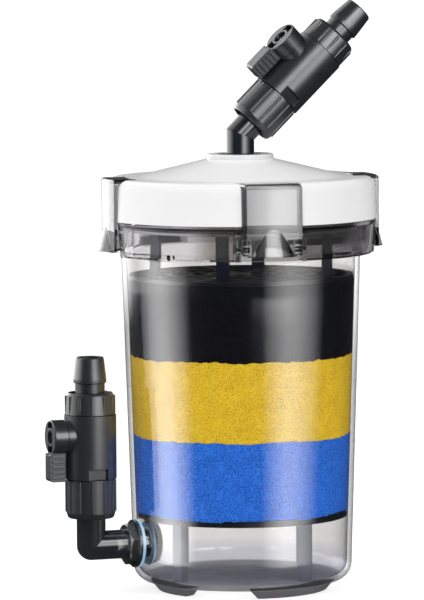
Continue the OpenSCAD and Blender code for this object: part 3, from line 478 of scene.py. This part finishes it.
def latch_plastic(name):
    """Clear moulded plastic that bends the light, with painted shade: its colour is painted dark where its
    faces turn from the viewer, and along a border at its sides and upper edge
    """
    s = Shader(name)
    waves = s.noise(LATCH_RIPPLE)
    normal = s.bump(waves, LATCH_RIPPLE_DEPTH, LATCH_RIPPLE_BUMP, s.soft_edges(LATCH_SOFT))
    gloss = s.drift(LATCH_GLOSS_SIZE, LATCH_ROUGH * 0.5, LATCH_ROUGH * 1.5)
    # Painted shade: the colour is dark where faces turn from the viewer
    edge_shade = (0.09, LATCH_CLEAR), (0.16, LATCH_EDGE_SHADE), (0.4, LATCH_EDGE_SHADE)
    far_side = (0.56, shade(LATCH_CLEAR, 0.93)), (0.9, shade(LATCH_CLEAR, 0.98))
    base = s.ramp(s.turned_away(s.soft_edges(LATCH_EDGE)), *edge_shade, *far_side)
    shaded_tint = s.ramp(waves, (NOISE_LOW, LATCH_BORDER_SHADE), (NOISE_HIGH, shade(LATCH_BORDER_SHADE, 1.2)))
    # Painted shade: the dark border along the sides and the upper edge
    base = s.blend(latch_shade_border(s), base, shaded_tint)
    clear = s.clear_plastic(Base_Color=base, Roughness=gloss, Normal=normal)
    return s.surface(lets_lamps_through(s, clear, WHITE))


# ---- Materials by slot, and the CAD pieces that wear them ----

SOFT = 0.3 * MM
LID_SOFT = 0.4 * MM
GAP_SHADE_REACH = 1.2 * MM
ELBOWS = ("inlet_elbow", "outlet_elbow")

MATERIALS = {
    # charcoal and nut_black have painted shade in their gaps
    "charcoal": moulded_plastic("charcoal", (0.014, 0.0155, 0.018), 0.3, edge=SOFT, level=0.7, painted_shade_reach=GAP_SHADE_REACH),
    "elbow_black": moulded_plastic("elbow_black", (0.014, 0.016, 0.019), 0.15, edge=SOFT),
    "nut_black": moulded_plastic("nut_black", (0.01, 0.012, 0.012), 0.24, edge=SOFT, painted_shade_reach=GAP_SHADE_REACH),
    "lid_white": moulded_plastic("lid_white", (0.82, 0.815, 0.825), 0.2, LID_SOFT, vary=0.01, level=0.12),
    "foot_grey": moulded_plastic("foot_grey", (0.11, 0.11, 0.12), 0.5, edge=SOFT),
    "frame_navy": frame_plastic("frame_navy"),
    "washer_blue": moulded_plastic("washer_blue", (0.33, 0.52, 0.7), 0.35),
    "seal_rubber": moulded_plastic("seal_rubber", (0.02, 0.02, 0.024), 0.6),
    "seat_white": moulded_plastic("seat_white", (0.8, 0.8, 0.78), 0.4),
    "ball_grey": moulded_plastic("ball_grey", (0.6, 0.6, 0.62), 0.15),
    "steel": moulded_plastic("steel", (0.6, 0.6, 0.61), 0.35, Metallic=1.0),
    "latch_clear": latch_plastic("latch_clear"),
    "smoked_clear": smoked_wall("smoked_clear"),
}
# Each foam: its pore colour, a painted shade, its middle and strut colours, and its painted glow
FOAMS = {
    "sponge_blue": foam("foam_blue", (0.006, 0.085, 0.56), (0.014, 0.15, 0.8), (0.05, 0.27, 0.98), 0.16),
    "sponge_yellow": foam("foam_yellow", (0.7, 0.38, 0.006), (0.92, 0.57, 0.016), (1.0, 0.74, 0.05), 0.2),
    "sponge_black": foam("foam_black", (0.001, 0.001, 0.003), (0.002, 0.0025, 0.006), (0.005, 0.006, 0.012),
                         0.0, RING_GLINT_GREY),
}


def dress_cad():
    slots = {row["node"]: row["material_slot"] for row in frame["record"]["subparts"]}
    for name, piece in frame["nodes"].items():
        material = MATERIALS.get("elbow_black" if name in ELBOWS else slots[name])
        if material:
            piece.data.materials.clear()
            piece.data.materials.append(material)


# ---- Sponges ----

AROUND = 480
INNER_RINGS = 26
ROW_HEIGHT = 0.8 * MM
LEAST_ROWS = 20
FOAM_GROW = 0.3 * MM
FOAM_ROUGH = 0.28 * MM
ROUGH_SIZE = 0.9 * MM
EDGE_WAVE = 1.5 * MM
WAVE_SIZE, WAVE_SHARE = 22 * MM, 0.7
TUFT_SIZE, TUFT_SHARE = 2.4 * MM, 0.45
WAVE_SEED_STEP, TUFT_SEED_STEP = 0.37, 0.11
RIPPLE_DEPTH = 0.25 * MM
RIPPLE_SINK = 0.2 * MM


def cone_of(node):
    """Lowest and highest z of a sponge's solid, and its radius at each"""
    lo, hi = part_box(node)
    points = [v.co for v in frame["nodes"][node].data.vertices]
    tenth = 0.1 * (hi[2] - lo[2])
    low = max(math.hypot(p.x, p.y) for p in points if p.z < lo[2] + tenth)
    high = max(math.hypot(p.x, p.y) for p in points if p.z > hi[2] - tenth)
    return lo[2], hi[2], low, high


def wave(angle, r, seed):
    """How far a sponge's cut face rises or falls at a place"""
    x, y = math.cos(angle) * r, math.sin(angle) * r
    broad = noise.noise(Vector((x, y, seed * WAVE_SEED_STEP)) / WAVE_SIZE)
    fine = noise.noise(Vector((x, y, seed * TUFT_SEED_STEP)) / TUFT_SIZE)
    return EDGE_WAVE * (WAVE_SHARE * broad + TUFT_SHARE * fine)


def ripple(x, y):
    """Height of the low ripples on the top of the upper sponge"""
    total = 0
    for cx, cy in RING_CENTRES:
        d = math.hypot(x - cx, y - cy)
        total -= RIPPLE_DEPTH * math.cos(2 * math.pi * d / RING_PITCH) * max(0, 1 - d / RING_REACH)
    return total - RIPPLE_SINK


def sponge_mesh(name, cone, low_seed, high_seed, ripples):
    """A closed cone with a rough skin: rings run out over its bottom, up its side and back over its top"""
    z0, z1, r0, r1 = cone
    rows = max(LEAST_ROWS, round((z1 - z0) / ROW_HEIGHT))
    shares = [i / (INNER_RINGS + 1) for i in range(1, INNER_RINGS + 1)]
    rings = [(share, 0.0) for share in shares]
    rings += [(1.0, i / rows) for i in range(rows + 1)]
    rings += [(share, 1.0) for share in reversed(shares)]
    verts, faces = [], []
    for share, height in rings:
        r = (r0 + (r1 - r0) * height + FOAM_GROW) * share
        for k in range(AROUND):
            a = 2 * math.pi * k / AROUND
            x, y = math.cos(a) * r, math.sin(a) * r
            z = z0 + (z1 - z0) * height
            z += (1 - height) * wave(a, r, low_seed) + height * wave(a, r, high_seed)
            if ripples and height == 1.0:
                z += ripple(x, y)
            p = Vector((x, y, z))
            rough = FOAM_ROUGH * noise.noise(p / ROUGH_SIZE)
            if share == 1.0:
                p.x += rough * math.cos(a)
                p.y += rough * math.sin(a)
            else:
                p.z += rough
            verts.append(p)
    turns = [(k, (k + 1) % AROUND) for k in range(AROUND)]
    for j in range(len(rings) - 1):
        a, b = j * AROUND, (j + 1) * AROUND
        faces += [(a + k, a + n, b + n, b + k) for k, n in turns]
    verts.append(Vector((0, 0, z0 + wave(0, 0, low_seed))))
    faces += [(n, k, len(verts) - 1) for k, n in turns]
    verts.append(Vector((0, 0, z1 + wave(0, 0, high_seed))))
    last = (len(rings) - 1) * AROUND
    faces += [(last + k, last + n, len(verts) - 1) for k, n in turns]
    mesh = bpy.data.meshes.new(name)
    mesh.from_pydata(verts, [], faces)
    mesh.shade_smooth()
    return mesh


def add_sponge(node, low_seed, high_seed, ripples=False):
    mesh = sponge_mesh(node + "_foam", cone_of(node), low_seed, high_seed, ripples)
    mesh.materials.append(FOAMS[node])
    piece = bpy.data.objects.new(node + "_foam", mesh)
    bpy.context.scene.collection.objects.link(piece)
    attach(piece, "filter")
    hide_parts(node)


# ---- Lamps and light cards ----

AIM_Z = 130 * MM
CARD_RADIUS = 1.2
CARD_COLUMNS = 4
CARD_ROWS = 12

# Strip lamps: four places along each, from its own left to right. It is fully bright between the middle two
# and fades evenly to nothing at the outer two.
LEFT_STRIP = (-35 * MM, -7 * MM, -1.5 * MM, 16 * MM)
RIGHT_STRIP = (-18 * MM, -3.5 * MM, 3 * MM, 27 * MM)
STRIP_DISTANCE = 60 * MM
STRIP_LOW, STRIP_HIGH = 13 * MM, 152 * MM

# Light cards: radiance at degrees right of the camera
COLLAR_CARD = ((-115, 1.5), (-70, 1.0), (-45, 0.2), (-25, 0.03), (115, 0.03))
EDGE_CARD = ((-170, 0.0), (-155, 4.5), (-95, 4.5), (-72, 2.2), (-56, 0.0))
RIM_CARD = ((-170, 0.0), (-155, 2.1), (-95, 2.1), (-72, 1.2), (-56, 0.0))
FRONT_CARD = ((6, 0.0), (18, 3.0), (28, 7.5), (44, 7.5), (58, 3.0), (75, 0.8), (95, 0.0))
SCOOP_CARD = ((-12, 0.0), (2, 9.0), (27, 12.0), (50, 9.0), (64, 0.0))


def ease(share):
    return share * share * (3 - 2 * share)


def place_lamp(name, data, place, look, shift=0.0):
    """A lamp at a place, shift metres to its own right, that neither the camera nor bent rays see"""
    lamp = bpy.data.objects.new(name, data)
    turn = look.to_track_quat("-Z", "Y").to_matrix()
    lamp.matrix_world = Matrix.Translation(place + turn @ Vector((shift, 0, 0))) @ turn.to_4x4()
    lamp.visible_camera = lamp.visible_transmission = False
    bpy.context.scene.collection.objects.link(lamp)
    return lamp


def area_lamp(name, width, height, radiance):
    data = bpy.data.lights.new(name, "AREA")
    data.shape = "RECTANGLE"
    data.size, data.size_y = width, height
    data.energy = radiance * math.pi * width * height
    return data


def softbox(name, right_of_camera, distance, z, width, height, radiance):
    """A rectangular lamp that looks at the barrel and that nothing mirrors"""
    place = bearing(right_of_camera, distance, z)
    data = area_lamp(name, width, height, radiance)
    lamp = place_lamp(name, data, place, Vector((0, 0, AIM_Z)) - place)
    lamp.visible_glossy = False


def strip_lamp(name, places, right_of_camera, radiance, gain):
    """A flat upright lamp close to the barrel, bright in its middle, which lights only what mirrors it. Its
    foot is gain times as bright as its top."""
    start, end = places[0], places[-1]
    data = area_lamp(name, end - start, STRIP_HIGH - STRIP_LOW, radiance)
    data.use_nodes = True
    nodes, links = data.node_tree.nodes, data.node_tree.links
    nodes.clear()
    split = nodes.new("ShaderNodeSeparateXYZ")
    links.new(nodes.new("ShaderNodeNewGeometry").outputs["Parametric"], split.inputs[0])
    across = nodes.new("ShaderNodeValToRGB")
    shares = [(at - start) / (end - start) for at in places]
    set_stops(across.color_ramp, list(zip(shares, (BLACK, WHITE, WHITE, BLACK))))
    links.new(split.outputs["X"], across.inputs["Fac"])
    rise = nodes.new("ShaderNodeMapRange")
    rise.inputs["To Min"].default_value, rise.inputs["To Max"].default_value = gain, 1.0
    links.new(split.outputs["Y"], rise.inputs["Value"])
    shine = nodes.new("ShaderNodeEmission")
    links.new(across.outputs["Color"], shine.inputs["Color"])
    links.new(rise.outputs["Result"], shine.inputs["Strength"])
    links.new(shine.outputs["Emission"], nodes.new("ShaderNodeOutputLight").inputs["Surface"])
    place = bearing(right_of_camera, STRIP_DISTANCE, (STRIP_LOW + STRIP_HIGH) / 2)
    lamp = place_lamp(name, data, place, -bearing(right_of_camera, 1, 0), shift=(start + end) / 2)
    lamp.visible_diffuse = False


def light_card(name, profile, low, high, soft=0.0, radius=CARD_RADIUS, one_sided=False):
    """A curved upright card that only mirror-like surfaces see. Its light fades over soft metres at its upper
    and lower edge. The back of a one-sided card can't be seen."""
    columns = CARD_COLUMNS * (len(profile) - 1)
    verts, glow, faces = [], [], []
    for k in range(columns + 1):
        i = min(k // CARD_COLUMNS, len(profile) - 2)
        share = k / CARD_COLUMNS - i
        degrees = profile[i][0] + (profile[i + 1][0] - profile[i][0]) * share
        radiance = profile[i][1] + (profile[i + 1][1] - profile[i][1]) * ease(share)
        for j in range(CARD_ROWS + 1):
            z = low + (high - low) * j / CARD_ROWS
            fade = min(1, min(z - low, high - z) / soft) if soft else 1
            verts.append(bearing(degrees, radius, z))
            glow.append(radiance * ease(fade))
    for k in range(columns):
        for j in range(CARD_ROWS):
            a, b = k * (CARD_ROWS + 1) + j, (k + 1) * (CARD_ROWS + 1) + j
            faces.append((a, a + 1, b + 1, b))
    mesh = bpy.data.meshes.new(name)
    mesh.from_pydata(verts, [], faces)
    mesh.attributes.new("glow", "FLOAT", "POINT").data.foreach_set("value", glow)
    s = Shader(name)
    strength = s.add("ShaderNodeAttribute", {"attribute_name": "glow"}).outputs["Fac"]
    shine = s.add("ShaderNodeEmission", Strength=strength).outputs["Emission"]
    if one_sided:
        clear = s.add("ShaderNodeBsdfTransparent").outputs["BSDF"]
        shine = s.mix(s.add("ShaderNodeNewGeometry").outputs["Backfacing"], shine, clear)
    mesh.materials.append(s.surface(shine))
    card = bpy.data.objects.new(name, mesh)
    card.visible_camera = card.visible_diffuse = card.visible_transmission = card.visible_shadow = False
    bpy.context.scene.collection.objects.link(card)


def add_lights():
    strip_lamp("left_strip", LEFT_STRIP, -45, radiance=5.6, gain=1.38)
    strip_lamp("right_strip", RIGHT_STRIP, 29, radiance=3.8, gain=1.28)
    light_card("collar_card", COLLAR_CARD, low=128 * MM, high=160 * MM, radius=120 * MM, one_sided=True)
    light_card("edge_card", EDGE_CARD, low=0.0, high=0.7, soft=0.06)
    light_card("rim_card", RIM_CARD, low=0.64, high=1.9, soft=0.06)
    light_card("front_card", FRONT_CARD, low=-0.05, high=0.75, soft=0.03)
    light_card("scoop_card", SCOOP_CARD, low=0.45, high=0.95, soft=0.1, radius=1.1)
    softbox("key", -40, distance=1.5, z=1.5, width=1.3, height=1.1, radiance=1.9)
    softbox("fill", 35, distance=1.7, z=0.6, width=1.0, height=1.0, radiance=0.9)
    softbox("top", 20, distance=0.3, z=1.5, width=1.4, height=1.4, radiance=1.62)
    softbox("back", 180, distance=1.6, z=0.9, width=1.6, height=1.2, radiance=0.6)


# ---- Backdrop and floor ----

SEEN_WHITE = 1.1
MIRRORED_DARK = 0.03
AMBIENT = 0.58
BENT_DARK, BENT_WHITE = 0.06, 0.97
BENT_FROM, BENT_TO = 0.45, 0.9
DISC_RADIUS = 0.9
DISC_AROUND = 96
DISC_CLOUD = 0.2
DISC_GREYS = (0.44, 0.44, 0.44), (0.46, 0.46, 0.46)
DISC_GLOW = 0.75


def add_world():
    """White where the camera looks, and dim in what glossy surfaces mirror. Rays bent by clear plastic see
    white towards the backdrop and dark to the sides, above and below, which draws the edges of the clear
    pieces."""
    world = bpy.data.worlds.new("studio")
    world.use_nodes = True
    nodes, links = world.node_tree.nodes, world.node_tree.links
    nodes.clear()
    path = nodes.new("ShaderNodeLightPath")
    along = nodes.new("ShaderNodeVectorMath")
    along.operation = "DOT_PRODUCT"
    links.new(nodes.new("ShaderNodeTexCoord").outputs["Generated"], along.inputs[0])
    along.inputs[1].default_value = bearing(0, 1, 0)
    either_way = nodes.new("ShaderNodeMath")
    either_way.operation = "ABSOLUTE"
    links.new(along.outputs["Value"], either_way.inputs[0])
    beyond = nodes.new("ShaderNodeMapRange")
    beyond.interpolation_type = "SMOOTHSTEP"
    links.new(either_way.outputs["Value"], beyond.inputs["Value"])
    limits = {"From Min": BENT_FROM, "From Max": BENT_TO, "To Min": BENT_DARK, "To Max": BENT_WHITE}
    for key, value in limits.items():
        beyond.inputs[key].default_value = value

    def level(kind_of_ray, there, otherwise):
        """One strength for a kind of ray and another for the rest"""
        node = nodes.new("ShaderNodeMix")
        links.new(path.outputs[kind_of_ray], node.inputs[0])
        for socket, value in ((node.inputs[2], otherwise), (node.inputs[3], there)):
            if hasattr(value, "is_output"):
                links.new(value, socket)
            else:
                socket.default_value = value
        return node.outputs[0]

    strength = level("Is Glossy Ray", MIRRORED_DARK, AMBIENT)
    strength = level("Is Transmission Ray", beyond.outputs["Result"], strength)
    strength = level("Is Camera Ray", SEEN_WHITE, strength)
    back = nodes.new("ShaderNodeBackground")
    back.inputs["Color"].default_value = (*WHITE, 1)
    links.new(strength, back.inputs["Strength"])
    links.new(back.outputs["Background"], nodes.new("ShaderNodeOutputWorld").inputs["Surface"])
    bpy.context.scene.world = world


def add_floor():
    """A white disc, which mirror-like surfaces don't see"""
    s = Shader("floor_white")
    base = s.clouds(DISC_CLOUD, *DISC_GREYS, 2)
    lit = s.add("ShaderNodeBsdfDiffuse", Color=base).outputs["BSDF"]
    glow = s.add("ShaderNodeEmission", Strength=DISC_GLOW).outputs["Emission"]
    white = s.add_in_order("ShaderNodeAddShader", None, lit, glow).outputs["Shader"]
    mesh = bpy.data.meshes.new("floor")
    turns = [2 * math.pi * k / DISC_AROUND for k in range(DISC_AROUND)]
    rim = [(DISC_RADIUS * math.cos(a), DISC_RADIUS * math.sin(a), 0) for a in turns]
    mesh.from_pydata(rim, [], [tuple(range(DISC_AROUND))])
    mesh.materials.append(s.surface(white))
    floor = bpy.data.objects.new("floor", mesh)
    floor.visible_glossy = False
    bpy.context.scene.collection.objects.link(floor)


add_camera()
dress_cad()
add_sponge("sponge_blue", 1, 2)
add_sponge("sponge_yellow", 2, 3)
add_sponge("sponge_black", 3, 4, ripples=True)
add_floor()
add_lights()
add_world()
bpy.context.scene.view_settings.view_transform = "Standard"
# The clear wall and collar take many crossings
bpy.context.scene.cycles.max_bounces = 24
bpy.context.scene.cycles.transmission_bounces = 24
bpy.context.scene.cycles.transparent_max_bounces = 32
